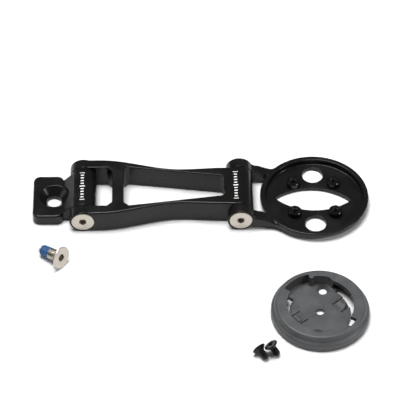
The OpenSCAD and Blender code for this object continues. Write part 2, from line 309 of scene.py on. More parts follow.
def break_edges(piece, width, angle=35, segments=2):
    """Bevel the sharp edges by a little."""
    build = bmesh.new()
    build.from_mesh(piece.data)
    bmesh.ops.remove_doubles(build, verts=build.verts, dist=0.004)
    bmesh.ops.dissolve_limit(build, angle_limit=radians(0.5), verts=build.verts, edges=build.edges)
    bmesh.ops.triangulate(build, faces=[face for face in build.faces if len(face.verts) > 4])
    build.to_mesh(piece.data)
    build.free()
    bevel = piece.modifiers.new("edge", "BEVEL")
    bevel.width = width
    bevel.segments = segments
    bevel.limit_method = "ANGLE"
    bevel.angle_limit = radians(angle)
    bevel.use_clamp_overlap = False
    return bake(piece)


def settle(piece, body, finish, nodes, place=None):
    """Scale a piece to metres, shade it, paint it, and hand it to its CAD body."""
    piece.data.transform(Matrix.Scale(mm, 4))
    for polygon in piece.data.polygons:
        polygon.use_smooth = True
    piece.data.set_sharp_from_angle(angle=radians(40))
    weighted = piece.modifiers.new("normals", "WEIGHTED_NORMAL")
    weighted.keep_sharp = True
    bake(piece)
    piece.data.materials.clear()
    piece.data.materials.append(finish)
    if place is not None:
        piece.matrix_world = place
    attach(piece, body)
    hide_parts(*nodes)
    print(f"{piece.name}: {len(piece.data.polygons)} faces, on {body}")
    return piece


print("faces that are joined are kept", hair, "mm out of one plane")

# %% [markdown]
# ## Effects that several finishes share
# Each effect is one node group with its own inputs, placed in each material with its own values.
# `fine_grain` is the tiny unevenness of a blasted or moulded skin. `edge_light` finds edges by
# asking how far a rounded normal would lean from the true one, so it doesn't depend on how the
# mesh is divided. `turning_marks` are the rings that a lathe leaves round an object's own Z.
# `handling` is the cloudiness left by fingers and packing.

# %% Node helpers


def new_group(name, inputs, outputs):
    """An empty shader group, with (name, kind, value) inputs and (name, kind) outputs."""
    group = bpy.data.node_groups.new(name, "ShaderNodeTree")
    for label, kind, value in inputs:
        socket = group.interface.new_socket(label, in_out="INPUT", socket_type=kind)
        socket.default_value = value
    for label, kind in outputs:
        group.interface.new_socket(label, in_out="OUTPUT", socket_type=kind)
    return group, group.nodes.new("NodeGroupInput"), group.nodes.new("NodeGroupOutput")


def add(tree, kind, links=None, **settings):
    """A node with its settings, and its sockets either linked or set to plain values."""
    node = tree.nodes.new(kind)
    for key, value in settings.items():
        setattr(node, key, value)
    for socket, value in (links or {}).items():
        if isinstance(value, bpy.types.NodeSocket):
            tree.links.new(value, node.inputs[socket])
        else:
            node.inputs[socket].default_value = value
    return node


def number(tree, operation, *values, clamp=False):
    """The result of a sum on numbers or sockets."""
    node = add(tree, "ShaderNodeMath", dict(enumerate(values)), operation=operation, use_clamp=clamp)
    return node.outputs[0]


def spread(tree, value, low, high, to_low=0.0, to_high=1.0):
    """Stretch the part of a value between low and high, smoothly."""
    sockets = {"Value": value, "From Min": low, "From Max": high, "To Min": to_low, "To Max": to_high}
    return add(tree, "ShaderNodeMapRange", sockets, interpolation_type="SMOOTHSTEP").outputs["Result"]


FLOAT = "NodeSocketFloat"
VECTOR = "NodeSocketVector"
relief = [("Height", FLOAT), ("Value", FLOAT)]
per_metre = 1 / mm
print("the node helpers are ready")

# %% Make the shared effects
grain, into, out = new_group("fine_grain", [("Size mm", FLOAT, 0.2), ("Softness", FLOAT, 0.5)], relief)
here = grain.nodes.new("ShaderNodeTexCoord").outputs["Object"]
scale = number(grain, "DIVIDE", per_metre, into.outputs["Size mm"])
soft = into.outputs["Softness"]
fine = add(grain, "ShaderNodeTexNoise", {"Vector": here, "Scale": scale, "Detail": 3.0, "Roughness": soft})
scale = number(grain, "DIVIDE", scale, 9.0)
broad = add(grain, "ShaderNodeTexNoise", {"Vector": here, "Scale": scale, "Detail": 2.0})
grain.links.new(fine.outputs["Fac"], out.inputs["Height"])
grain.links.new(broad.outputs["Fac"], out.inputs["Value"])

# The finishes use this mask to paint their edges lighter, a painted highlight. The rounded normal only bends the
# shading.
edges, into, out = new_group(
    "edge_light", [("Radius mm", FLOAT, 0.4), ("Strength", FLOAT, 1.0)],
    [("Mask", FLOAT), ("Normal", VECTOR)])
radius = number(edges, "MULTIPLY", into.outputs["Radius mm"], mm)
rounded = add(edges, "ShaderNodeBevel", {"Radius": radius}, samples=6)
true_normal = edges.nodes.new("ShaderNodeNewGeometry").outputs["Normal"]
both_normals = {0: rounded.outputs["Normal"], 1: true_normal}
lean = add(edges, "ShaderNodeVectorMath", both_normals, operation="DOT_PRODUCT")
leaning = spread(edges, number(edges, "SUBTRACT", 1.0, lean.outputs["Value"]), 0.01, 0.25)
mask = number(edges, "MULTIPLY", leaning, into.outputs["Strength"], clamp=True)
edges.links.new(mask, out.inputs["Mask"])
edges.links.new(rounded.outputs["Normal"], out.inputs["Normal"])

turning, into, out = new_group("turning_marks", [("Pitch mm", FLOAT, 0.12), ("Jitter", FLOAT, 0.3)], relief)
here = turning.nodes.new("ShaderNodeTexCoord").outputs["Object"]
parts = add(turning, "ShaderNodeSeparateXYZ", {"Vector": here})
flat = add(turning, "ShaderNodeCombineXYZ", {"X": parts.outputs["X"], "Y": parts.outputs["Y"]})
from_axis = add(turning, "ShaderNodeVectorMath", {0: flat.outputs["Vector"]}, operation="LENGTH")
pitch = number(turning, "MULTIPLY", into.outputs["Pitch mm"], mm)
rings = number(turning, "DIVIDE", from_axis.outputs["Value"], pitch)
uneven = add(turning, "ShaderNodeTexNoise", {"W": rings, "Scale": 0.35, "Detail": 3.0}, noise_dimensions="1D")
shake = number(turning, "MULTIPLY", uneven.outputs["Fac"], into.outputs["Jitter"])
shaken = number(turning, "ADD", rings, shake)
wave = number(turning, "SINE", number(turning, "MULTIPLY", shaken, 2 * pi))
turning.links.new(number(turning, "MULTIPLY_ADD", wave, 0.5, 0.5), out.inputs["Height"])
turning.links.new(uneven.outputs["Fac"], out.inputs["Value"])

handling, into, out = new_group(
    "handling", [("Size mm", FLOAT, 9.0), ("Amount", FLOAT, 0.5)], [("Value", FLOAT)])
here = handling.nodes.new("ShaderNodeTexCoord").outputs["Object"]
scale = number(handling, "DIVIDE", per_metre, into.outputs["Size mm"])
cloud_look = {"Vector": here, "Scale": scale, "Detail": 5.0, "Distortion": 0.6}
cloud = add(handling, "ShaderNodeTexNoise", cloud_look)
clouded = spread(handling, cloud.outputs["Fac"], 0.35, 0.75)
handling.links.new(number(handling, "MULTIPLY", clouded, into.outputs["Amount"]), out.inputs["Value"])
print("node groups:", [group.name for group in bpy.data.node_groups])

# %% [markdown]
# ## Helpers for the finishes
# A finish is one Principled shader. Its plain numbers sit on its own sockets, and only what
# changes over the surface is linked into it. Relief is given in millimetres, so that a grain
# stays as shallow as the real one.

# %% Material helpers


def new_material(name, **constants):
    """A material with one Principled shader, whose plain numbers sit on its own sockets."""
    material = bpy.data.materials.new(name)
    material.use_nodes = True
    shader = material.node_tree.nodes["Principled BSDF"]
    for socket, value in constants.items():
        shader.inputs[socket.replace("_", " ")].default_value = value
    return material, material.node_tree, shader


def use(tree, group, **values):
    """One placed copy of a shared effect."""
    node = tree.nodes.new("ShaderNodeGroup")
    node.node_tree = group
    for socket, value in values.items():
        node.inputs[socket.replace("_", " ")].default_value = value
    return node


def mix(tree, mask, first, second):
    """Blend two colours by a mask."""
    node = tree.nodes.new("ShaderNodeMix")
    node.data_type = "RGBA"
    tree.links.new(mask, node.inputs["Factor"])
    for socket, value in ((node.inputs[6], first), (node.inputs[7], second)):
        if isinstance(value, bpy.types.NodeSocket):
            tree.links.new(value, socket)
        else:
            socket.default_value = (*value, 1)
    return node.outputs[2]


def raised(tree, shader, height, depth_mm, normal=None):
    """Feed a height to the shader's normal, as relief of a real depth."""
    bump = add(tree, "ShaderNodeBump", {"Height": height, "Distance": depth_mm * mm, "Strength": 1.0})
    if normal is not None:
        tree.links.new(normal, bump.inputs["Normal"])
    tree.links.new(bump.outputs["Normal"], shader.inputs["Normal"])


def roughen(tree, shader, value, low, high):
    """Let a fine grain's value carry the roughness between two ends."""
    tree.links.new(spread(tree, value, 0.3, 0.7, low, high), shader.inputs["Roughness"])


print("the material helpers are ready")

# %% [markdown]
# ## Black anodised aluminium
# Anodising grows a hard clear skin on the metal and dyes it. The result is almost black, with a
# satin gloss that is sharper on fresh edges, and the edges are painted a little lighter as a
# painted highlight. The print on the two knuckles is generic: a row of index ticks, held in a mask
# that is worked out from the surface's own place, so that it needs no picture.

# %% Anodised finish


tick_row_half, tick_pitch = 8.3, 1.65
tick_top = hinge_r + 4.5


def tick_mask(tree, x, half_length, pitch_mm):
    """White index ticks on the top of a knuckle at x, every fifth one longer."""
    here = tree.nodes.new("ShaderNodeTexCoord").outputs["Object"]
    parts = add(tree, "ShaderNodeSeparateXYZ", {"Vector": here}).outputs
    along = number(tree, "DIVIDE", parts["Y"], pitch_mm * mm)
    phase = number(tree, "SUBTRACT", along, number(tree, "ROUND", along))
    is_tick = number(tree, "LESS_THAN", number(tree, "ABSOLUTE", phase), 0.2)
    fifth = number(tree, "DIVIDE", number(tree, "ROUND", along), 5.0)
    off_fifth = number(tree, "ABSOLUTE", number(tree, "SUBTRACT", fifth, number(tree, "ROUND", fifth)))
    reach = spread(tree, off_fifth, 0.05, 0.15, 1.1 * mm, 0.7 * mm)
    across = number(tree, "ABSOLUTE", number(tree, "SUBTRACT", parts["X"], x * mm))
    in_reach = number(tree, "LESS_THAN", across, reach)
    in_row = number(tree, "LESS_THAN", number(tree, "ABSOLUTE", parts["Y"]), half_length * mm)
    on_top = number(tree, "GREATER_THAN", parts["Z"], tick_top * mm)
    inked = number(tree, "MULTIPLY", is_tick, in_reach)
    placed = number(tree, "MULTIPLY", in_row, on_top)
    return number(tree, "MULTIPLY", inked, placed)


def anodised(name, ticks_at=None):
    """Black anodise, with printed ticks across the knuckle at ticks_at."""
    material, tree, shader = new_material(name, Specular_IOR_Level=0.25)
    grain_here = use(tree, grain, Size_mm=0.12, Softness=0.6)
    clouds = use(tree, handling, Size_mm=14.0, Amount=1.0)
    edge = use(tree, edges, Radius_mm=0.35, Strength=0.8)
    colour = mix(tree, clouds.outputs["Value"], (0.006, 0.0056, 0.0054), (0.010, 0.0095, 0.0092))
    # The edges are painted lighter here: a painted highlight.
    colour = mix(tree, edge.outputs["Mask"], colour, (0.020, 0.019, 0.019))
    rough = spread(tree, clouds.outputs["Value"], 0.0, 1.0, 0.22, 0.29)
    rough = number(tree, "SUBTRACT", rough, number(tree, "MULTIPLY", edge.outputs["Mask"], 0.08))
    if ticks_at is not None:
        ticks = tick_mask(tree, ticks_at, tick_row_half, tick_pitch)
        colour = mix(tree, ticks, colour, (0.78, 0.78, 0.76))
        rough = number(tree, "ADD", rough, number(tree, "MULTIPLY", ticks, 0.2))
    tree.links.new(colour, shader.inputs["Base Color"])
    tree.links.new(rough, shader.inputs["Roughness"])
    raised(tree, shader, grain_here.outputs["Height"], 0.004, edge.outputs["Normal"])
    return material


base_finish = anodised("anodised_base", hinge_1_x - 0.3)
arm_finish = anodised("anodised_arm", hinge_2_x - 1.9)
head_finish = anodised("anodised_head")
print("anodised finishes:", base_finish.name, arm_finish.name, head_finish.name)

# %% [markdown]
# ## The metals of the hardware, the nylon and the blue patch
# Stainless heads show lathe rings. Black oxide is a thin, slightly oily conversion layer on the
# small screws. Bronze washers are almost hidden between the ears. The insert is moulded nylon
# with glass in it, so it is a dark grey with a fine grain and a soft sheen. The blue patch is a
# sprayed coat of nylon that keeps the screw from shaking loose.

# %% Metal, nylon and patch finishes


def stainless():
    """Bare stainless steel with lathe rings."""
    material, tree, shader = new_material("turned_stainless", Metallic=1.0)
    rings = use(tree, turning, Pitch_mm=0.22, Jitter=0.8)
    clouds = use(tree, handling, Size_mm=4.0, Amount=0.8)
    edge = use(tree, edges, Radius_mm=0.15, Strength=0.8)
    colour = mix(tree, rings.outputs["Height"], (0.43, 0.395, 0.34), (0.54, 0.505, 0.45))
    # The edges are painted lighter here: a painted highlight.
    colour = mix(tree, edge.outputs["Mask"], colour, (0.70, 0.67, 0.62))
    tree.links.new(colour, shader.inputs["Base Color"])
    tree.links.new(spread(tree, clouds.outputs["Value"], 0, 1, 0.30, 0.44), shader.inputs["Roughness"])
    raised(tree, shader, rings.outputs["Height"], 0.006)
    return material


def black_oxide(name, colour_low, colour_high, rough_low, rough_high):
    """A black conversion layer on small turned parts."""
    material, tree, shader = new_material(name, Metallic=0.6)
    grain_here = use(tree, grain, Size_mm=0.15, Softness=0.6)
    edge = use(tree, edges, Radius_mm=0.12, Strength=0.7)
    colour = mix(tree, grain_here.outputs["Value"], colour_low, colour_high)
    # The edges are painted lighter here: a painted highlight.
    colour = mix(tree, edge.outputs["Mask"], colour, (0.05, 0.05, 0.05))
    tree.links.new(colour, shader.inputs["Base Color"])
    roughen(tree, shader, grain_here.outputs["Value"], rough_low, rough_high)
    raised(tree, shader, grain_here.outputs["Height"], 0.004)
    return material


def bronze():
    """The washers' bronze."""
    material, tree, shader = new_material("washer_bronze", Metallic=1.0)
    grain_here = use(tree, grain, Size_mm=0.3, Softness=0.5)
    colour = mix(tree, grain_here.outputs["Value"], (0.34, 0.23, 0.11), (0.52, 0.38, 0.19))
    tree.links.new(colour, shader.inputs["Base Color"])
    roughen(tree, shader, grain_here.outputs["Value"], 0.3, 0.5)
    raised(tree, shader, grain_here.outputs["Height"], 0.003)
    return material


def moulded_nylon():
    """Dark grey nylon with glass in it."""
    material, tree, shader = new_material("moulded_nylon", Specular_IOR_Level=0.35)
    grain_here = use(tree, grain, Size_mm=0.22, Softness=0.7)
    clouds = use(tree, handling, Size_mm=7.0, Amount=1.0)
    edge = use(tree, edges, Radius_mm=0.3, Strength=0.8)
    colour = mix(tree, clouds.outputs["Value"], (0.058, 0.060, 0.062), (0.078, 0.080, 0.083))
    colour = mix(tree, spread(tree, grain_here.outputs["Height"], 0.52, 0.68), colour, (0.11, 0.11, 0.115))
    # The edges are painted lighter here: a painted highlight.
    colour = mix(tree, edge.outputs["Mask"], colour, (0.15, 0.15, 0.155))
    tree.links.new(colour, shader.inputs["Base Color"])
    tree.links.new(spread(tree, clouds.outputs["Value"], 0, 1, 0.40, 0.52), shader.inputs["Roughness"])
    raised(tree, shader, grain_here.outputs["Height"], 0.016, edge.outputs["Normal"])
    return material


def blue_patch():
    """The sprayed blue coat."""
    material, tree, shader = new_material("thread_lock_blue")
    grain_here = use(tree, grain, Size_mm=0.35, Softness=0.6)
    specks = spread(tree, grain_here.outputs["Height"], 0.4, 0.65)
    colour = mix(tree, specks, (0.012, 0.068, 0.21), (0.045, 0.15, 0.30))
    tree.links.new(colour, shader.inputs["Base Color"])
    roughen(tree, shader, grain_here.outputs["Value"], 0.45, 0.65)
    raised(tree, shader, grain_here.outputs["Height"], 0.03)
    return material


steel_finish = stainless()
oxide_finish = black_oxide("black_oxide", (0.006, 0.006, 0.006), (0.016, 0.016, 0.016), 0.28, 0.40)
standoff_finish = black_oxide("anodised_turned", (0.005, 0.005, 0.005), (0.010, 0.010, 0.010), 0.22, 0.32)
bronze_finish = bronze()
nylon_finish = moulded_nylon()
patch_finish = blue_patch()
print("finishes:", len(bpy.data.materials))

# %% [markdown]
# ## The base plate
# The foot is a thick plate with rounded corners and a countersunk bolt hole. A narrower neck
# climbs at 45 degrees from it into the first knuckle. It could be one sculpted mesh, but the real
# one is milled, so it is made the same way: three plain solids are joined, and the holes are cut
# afterwards. The neck's foot has the small fillet that a ball-nosed cutter leaves.

# %% Make the base plate
plate_t = 5.3
ramp_x = 4.3
neck_half = 10.0
bolt_r, bolt_sink_r = 3.3, 6.6
pivot_bore_r = 2.55

near_y, far_y, end_x = plate_low.y, plate_high.y, plate_low.x
corner_places = [(end_x, near_y), (ramp_x, near_y), (ramp_x, far_y), (end_x, far_y)]
plate = prism("machined_base", soften([(x, y, 3.0) for x, y in corner_places], 8), 0, plate_t, 0.5, 0.8)

tangent = hinge_r * sqrt(0.5)
foot_x = ramp_x - 2.5
neck_side = soften([
    (foot_x, hair, 0), (hinge_1_x, hair, 0), (hinge_1_x, hinge_r, 0),
    (hinge_1_x - tangent, hinge_r + tangent - hair, 0), (ramp_x, plate_t, 1.4), (foot_x, plate_t - 0.4, 0)])
neck = moved(prism("neck", neck_side, -neck_half, neck_half, 0.45, 0.45), lay_on_side)
knuckle = on_hinge(rounded_rod("knuckle", hinge_r, -knuckle_half, knuckle_half, 0.3, 0.3), hinge_1_x)
combine(plate, "UNION", [neck, knuckle])

land_z = plate_t - (bolt_sink_r - bolt_r)
sink_profile = [(0, -1), (bolt_r, -1), (bolt_r, land_z), (bolt_sink_r, plate_t), (bolt_sink_r, 14), (0, 14)]
sink = lathe("sink", sink_profile)
bore = on_hinge(rounded_rod("bore", pivot_bore_r, -20, 20, 0, 0, 64), hinge_1_x)
combine(plate, "DIFFERENCE", [sink, bore])
break_edges(plate, 0.12)
settle(plate, "base", base_finish, ["base_plate"])

# %% [markdown]
# ## The hinge arm
# Seen from above, the arm is a fork that narrows to a waist and widens a little at its knuckle.
# Its outline is one loop, and the fork's opening is part of it, so the outer edges can have a
# generous radius while the inner ones stay crisp: the ease is a list, with a value for each point.
# The long window is cut with a flared tool, which leaves its rim rounded.

# %% Make the hinge arm
rail_h = 11.2
waist_half = 10.4
fork_end_x = hinge_1_x + 7
waist_x = hinge_1_x + 44
knuckle_start_x = hinge_2_x - 6.5
rail_low, rail_high = hinge_r - rail_h / 2, hinge_r + rail_h / 2


def rail_half(x):
    """Half the width over the rails, at a place along the mount."""
    if x < waist_x:
        start, stop, first, last = fork_end_x, waist_x, ear_out - hair, waist_half
    else:
        start, stop, first, last = waist_x, knuckle_start_x, waist_half, knuckle_half - hair
    share = (x - start) / (stop - start)
    return first + (last - first) * (1 - cos(pi * share)) / 2


rail_xs = [fork_end_x + (knuckle_start_x - fork_end_x) * k / 60 for k in range(61)]
outer = [(x, -rail_half(x)) for x in rail_xs]
outer = [(hinge_1_x, hair - ear_out)] + outer + [(hinge_2_x, hair - knuckle_half)]
fork_x = hinge_1_x + 12.9
chamfer = 2.2
inner = soften([
    (hinge_1_x, ear_in + hair, 0), (fork_x - chamfer, ear_in + hair, 1.0), (fork_x, ear_in - chamfer, 1.0),
    (fork_x, chamfer - ear_in, 1.0), (fork_x - chamfer, -ear_in - hair, 1.0),
    (hinge_1_x, -ear_in - hair, 0)], closed=False)
outline = outer + mirrored(outer) + inner
top_eases = [0.8] * (2 * len(outer)) + [0.45] * len(inner)
bottom_eases = [0.6] * (2 * len(outer)) + [0.45] * len(inner)
arm = prism("machined_arm", outline, rail_low, rail_high, bottom_eases, top_eases)

joins = [on_hinge(rounded_rod("knuckle", hinge_r, -knuckle_half, knuckle_half, 0.3, 0.3), hinge_2_x)]
for side in (-1, 1):
    span = sorted((side * ear_in, side * ear_out))
    soft = (0.3, 0.15) if side < 0 else (0.15, 0.5)
    joins.append(on_hinge(rounded_rod("ear", hinge_r, -span[1], -span[0], *reversed(soft)), hinge_1_x))
combine(arm, "UNION", joins)
print(f"the arm's rails stand {rail_h} mm high, and {2 * waist_half} mm apart over the waist")

# %% Cut the arm's window and its screw seats
window_x = fork_x + 5.1
window_end_x = hinge_2_x - 6.5
window_half, window_end_half = 11.6, 5.82
half_window = [
    (window_x, window_half - chamfer, 0.9), (window_x + chamfer, window_half, 0.9),
    (window_end_x, window_end_half, 3.0)]
window = soften([(x, -y, r) for x, y, r in half_window] + half_window[::-1], 8)
window_tool = prism("window", window, rail_low - hair, rail_high + hair, -0.5, -0.5, beyond=4)


def pivot_tools(x, bore_from):
    """Cutters for a pivot screw: its bore, and its head's seat in the near ear."""
    head_r, shank_r, land, play = 5.0, 2.5, 0.4, 0.25
    seat = ear_out - land - (head_r - shank_r)
    profile = [(0, bore_from), (pivot_bore_r, bore_from), (pivot_bore_r, seat), (head_r, ear_out - land),
               (head_r + play, ear_out - land), (head_r + play, 30), (0, 30)]
    return on_hinge(lathe("pivot_seat", profile), x)


arm_bore = on_hinge(rounded_rod("bore", pivot_bore_r, -20, 20, 0, 0, 64), hinge_2_x)
combine(arm, "DIFFERENCE", [window_tool, pivot_tools(hinge_1_x, -30), arm_bore])
break_edges(arm, 0.1)
settle(arm, "arm", arm_finish, ["hinge_arm"])

# %% [markdown]
# ## The head plate
# The dish is turned, with a 45 degree foot and a raised rim. Two short necks blend from the dish
# into the ears of the second hinge. Each neck is lofted: a rounded section follows the blend
# seen from above and the fillet seen from the side at the same time. The long hole is where two
# circles overlap, so its sides are two arcs. They meet in a point at one end and run into a
# small arc at the other.

# %% Turn the dish
dish_r, rim_w, rim_h, dish_floor = 24.1, 2.3, 4.6, 1.8
rim_in = dish_r - rim_w
dish_profile = soften([
    (0, 0, 0), (dish_r - 2.4, 0, 0.4), (dish_r, 2.4, 0.6), (dish_r, rim_h, 0.55), (rim_in, rim_h, 0.4),
    (rim_in, dish_floor, 0.5), (0, dish_floor, 0)], 5, closed=False)
head = moved(lathe("machined_head", dish_profile, 192), Matrix.Translation((dish_x, 0, 0)))
print(f"the dish is {2 * dish_r} mm across, with a floor {dish_floor} mm thick")

# %% Loft the necks and add the ears
neck_in, neck_low, neck_high, neck_steps = 11.8, 1.6, 7.2, 40
plan_blend, side_blend = 10.0, 4.0
reach, rise = dish_r + plan_blend, ear_out + plan_blend
plan_x = dish_x - sqrt(reach**2 - rise**2)
neck_end_x = plan_x + plan_blend * sqrt(1 - (rise / reach) ** 2)
side_reach, drop = hinge_r + side_blend, neck_high + side_blend - hinge_r
side_x = hinge_2_x + sqrt(side_reach**2 - drop**2)
side_start_x = side_x - side_blend * sqrt(1 - (drop / side_reach) ** 2)
slope_start_x, slope_end_x = side_x + 0.2, dish_x - 18.2


def neck_top(x):
    """Height of a neck: the fillet down from the ear, then level, then a slope to the rim."""
    if x < side_x:
        x = max(x, side_start_x)
        return neck_high + side_blend - sqrt(side_blend**2 - (side_x - x) ** 2)
    share = min(1, max(0, (x - slope_start_x) / (slope_end_x - slope_start_x)))
    return neck_high + (rim_h - 0.2 - neck_high) * share


def neck_section(x, way):
    """The rounded cross section of a neck, as points in 3-D."""
    outer_y = ear_out - hair
    if x > plan_x:
        outer_y = rise - hair - sqrt(plan_blend**2 - (x - plan_x) ** 2)
    inner_y = max(neck_in, sqrt(max(0, (dish_r - rim_w / 2) ** 2 - (dish_x - x) ** 2)))
    ease = min(1.0, (outer_y - inner_y) / 2.5)
    top = neck_top(x)
    corners = [
        (inner_y, neck_low, 0.1), (outer_y, neck_low, 0.8 * ease), (outer_y, top, ease),
        (inner_y, top, 0.3 * ease)]
    return [(x, way * y, z) for y, z in soften(corners, 5)]


def neck(way):
    """One neck, lofted through its sections from the ear to the dish."""
    sections = []
    for k in range(neck_steps + 1):
        x = hinge_2_x + 1 + (neck_end_x - 0.4 - hinge_2_x - 1) * k / neck_steps
        sections.append(neck_section(x, way))
    points = [point for section in sections for point in section]
    return new_piece("neck", points, skin(len(sections), len(sections[0])))


joins = []
for way in (-1, 1):
    ends = sorted((way * ear_in, way * ear_out))
    soft = (0.15, 0.3) if way < 0 else (0.5, 0.15)
    joins += [neck(way), on_hinge(rounded_rod("ear", hinge_r, -ends[1], -ends[0], *soft), hinge_2_x)]
combine(head, "UNION", joins)
print(f"each neck runs from x = {hinge_2_x + 1:.1f} to {neck_end_x:.1f} mm")

# %% Cut the head's holes
lens_len, lens_w, lens_end_r = 34.0, 13.6, 1.2
lens_off, lens_skew = -0.5, -3
side_hole_y, side_hole_r = 14.8, 4.65
shank_hole_r = 2.21
lens_r = ((lens_len / 2) ** 2 + (lens_w / 2) ** 2) / lens_w
lens_half = degrees(asin(lens_len / 2 / lens_r))
lens_drop = lens_r - lens_w / 2
lens_end_x = sqrt((lens_r - lens_end_r) ** 2 - lens_drop**2)
lens_turn = degrees(atan2(lens_drop, lens_end_x))
lens = arc(0, -lens_drop, lens_r, 90 - lens_half, 180 - lens_turn, 32)
lens += arc(-lens_end_x, 0, lens_end_r, 180 - lens_turn, 180 + lens_turn, 8)[1:-1]
lens += arc(0, lens_drop, lens_r, 180 + lens_turn, 270 + lens_half, 32)[:-1]
lens = [(x + lens_off, y) for x, y in lens]
lens_tool = prism("lens", lens, -hair, dish_floor + hair, -0.15, -0.15, beyond=4)
lens_place = Matrix.Translation((dish_x, 0, 0)) @ Matrix.Rotation(radians(lens_skew), 4, "Z")
tools = [moved(lens_tool, lens_place)]
for way in (-1, 1):
    circle = arc(dish_x, way * side_hole_y, side_hole_r, 0, 355, 71)
    tools.append(prism("side_hole", circle, -hair, dish_floor + hair, -0.2, -0.2, beyond=4))
standoff_names = ["standoff_1", "standoff_2", "standoff_3", "standoff_4"]
standoff_places = [(node_box(name)[0] + node_box(name)[1]) / 2 for name in standoff_names]
for spot in standoff_places:
    shank_hole = rounded_rod("shank_hole", shank_hole_r, -1, 3, 0, 0, 48)
    tools.append(moved(shank_hole, Matrix.Translation((spot.x, spot.y, 0))))
tools.append(pivot_tools(hinge_2_x, -30))
combine(head, "DIFFERENCE", tools)
break_edges(head, 0.08)
settle(head, "head", head_finish, ["head_plate"])

# %% [markdown]
# ## Standoffs
# Each standoff is a turned bush with a shank pressed into the dish, and an M3 thread inside. The
# thread is real geometry, because the light that it catches is what makes the hole read as
# tapped. One profile goes up the outside and down the threaded inside.

# %% Make the standoffs
standoff_top = place_of(mounts["insert_standoffs"]).z
standoff_r, standoff_shank_r = 2.95, 2.2
m3_pitch, m5_pitch = 0.5, 0.8
m3_major_r, m3_minor_r, thread_mouth_r = 1.5, 1.22, 1.75
turns_step = m3_pitch / 8

outside = [
    (standoff_shank_r, 0.02), (standoff_shank_r, dish_floor - 0.3), (standoff_r - 0.25, dish_floor + 0.02),
    (standoff_r, dish_floor + 0.3), (standoff_r, standoff_top - 0.3), (standoff_r - 0.3, standoff_top),
    (thread_mouth_r, standoff_top)]
inside = [(m3_major_r, standoff_top - 0.3)]
for k in range(int((standoff_top - 0.7) / turns_step)):
    inside.append((m3_minor_r, standoff_top - 0.35 - k * m3_pitch / 8, min(1, k / 4)))
inside.append((m3_major_r, 0.02))
for name, spot in zip(standoff_names, standoff_places):
    bush = lathe(f"turned_{name}", outside + inside, 72, m3_pitch, 0.28)
    own_turn = Matrix.Rotation(radians(350 + 60 * spot.x), 4, "Z")
    place = Matrix.Translation((spot.x * mm, spot.y * mm, 0)) @ own_turn
    settle(bush, "head", standoff_finish, [name], place)

# %% [markdown]
# ## Screws
# A screw is drawn once, with its head's face at the origin and facing +Z, and then put where its
# CAD node is. The node's pose is found from its own mesh: on a body of revolution, the normals
# spread evenly round the axis, so the axis is the odd one out of their three main directions.
# Drawing a screw in its own frame also lets the lathe rings follow its own axis.

# %% Find a screw's pose


def screw_pose(node):
    """Where a screw's head is and which way it faces, measured on its CAD mesh, in metres."""
    mesh = frame["nodes"][node].data
    areas = np.array([p.area for p in mesh.polygons])
    normals = np.array([tuple(p.normal) for p in mesh.polygons])
    centres = np.array([tuple(p.center) for p in mesh.polygons])
    values, vectors = np.linalg.eigh((normals * areas[:, None]).T @ normals)
    axis = vectors[:, int(np.argmax(np.abs(values - np.median(values))))]
    middle = (centres * areas[:, None]).sum(0) / areas.sum()
    points = np.array([tuple(v.co) for v in mesh.vertices]) - middle
    along = points @ axis
    off_axis = np.linalg.norm(points - np.outer(along, axis), axis=1)
    if along[int(np.argmax(off_axis))] < 0:
        axis, along = -axis, -along
    head = Vector(middle + axis * along.max())
    turn = Vector((0, 0, 1)).rotation_difference(Vector(axis))
    print(f"{node}: head at {[round(v / mm, 1) for v in head]} mm, facing {[round(v, 3) for v in axis]}")
    return Matrix.Translation(head) @ turn.to_matrix().to_4x4()


loose_bolt_pose = screw_pose("base_screw")

# %% [markdown]
# ## Drawing the screws
# One profile serves every screw: across the head, down its cone and along the thread, which
# fades in and out so that it has no torn end. The socket and its lead-in are cut afterwards. The
# pivot screws are plain along most of their length, because that is the part the hinge turns on.

# %% Make the screws


def flat_head_screw(name, length, head_r, thread_r, hex_across, hex_depth, pitch, plain=0.0, thread=0.6):
    """A 90 degree flat head socket screw, with a cut thread and a hexagonal socket."""
    cone_end = -0.4 - (head_r - thread_r)
    minor = thread_r - thread * pitch
    start = cone_end - plain
    step = pitch / 8
    rows = int((length + start - 0.6) / step)
    profile = [
        (0, 0), (head_r - 0.22, 0), (head_r - 0.06, -0.06), (head_r, -0.2), (head_r, -0.4),
        (thread_r, cone_end)]
    if plain:
        profile.append((thread_r, start + step))
    for k in range(rows + 1):
        share = min(1, k / 6, (rows - k) / 8 + 0.15)
        profile.append((minor, start - k * step, share))
    profile += [(minor - 0.15, 0.12 - length), (minor - 0.35, -length), (0, -length)]
    screw = lathe(name, profile, 96, pitch, thread_r - minor)
    corner_r = hex_across / sqrt(3)
    angles = [radians(60 * k + 30) for k in range(6)]
    hexagon = [(corner_r * cos(a), corner_r * sin(a)) for a in angles]
    socket = prism("socket", hexagon, -hex_depth, 0.5)
    small, large = corner_r - 0.35, corner_r + 0.15
    lead_in = lathe("lead_in", [(0, -0.3), (small, -0.3), (large, 0.05), (large, 1), (0, 1)], 48)
    return combine(screw, "DIFFERENCE", [socket, lead_in])


# Head radius, thread radius, key width and socket depth
m5_size, m3_size = (5.0, 2.5, 3.0, 2.2), (3.0, 1.5, 2.0, 1.1)
pivot_len = 2 * ear_out - 1
for name, body in (("base_hinge_screw", "arm"), ("head_hinge_screw", "head")):
    screw = flat_head_screw(f"turned_{name}", pivot_len, *m5_size, m5_pitch, plain=24.0)
    settle(screw, body, steel_finish, [name], screw_pose(name))
for name in ("insert_screw_1", "insert_screw_2"):
    screw = flat_head_screw(f"threaded_{name}", 6.0, *m3_size, m3_pitch)
    settle(screw, "insert_screws", oxide_finish, [name], screw_pose(name))
screw = flat_head_screw("threaded_base_screw", 12.0, *m5_size, m5_pitch)
settle(screw, "loose_bolt", steel_finish, ["base_screw"], loose_bolt_pose)

# %% [markdown]
# ## The blue patch
# The coat follows the thread under it and fills its roots a little. So it is a sleeve with the
# same winding as the screw, a shallower thread, and thin ends.

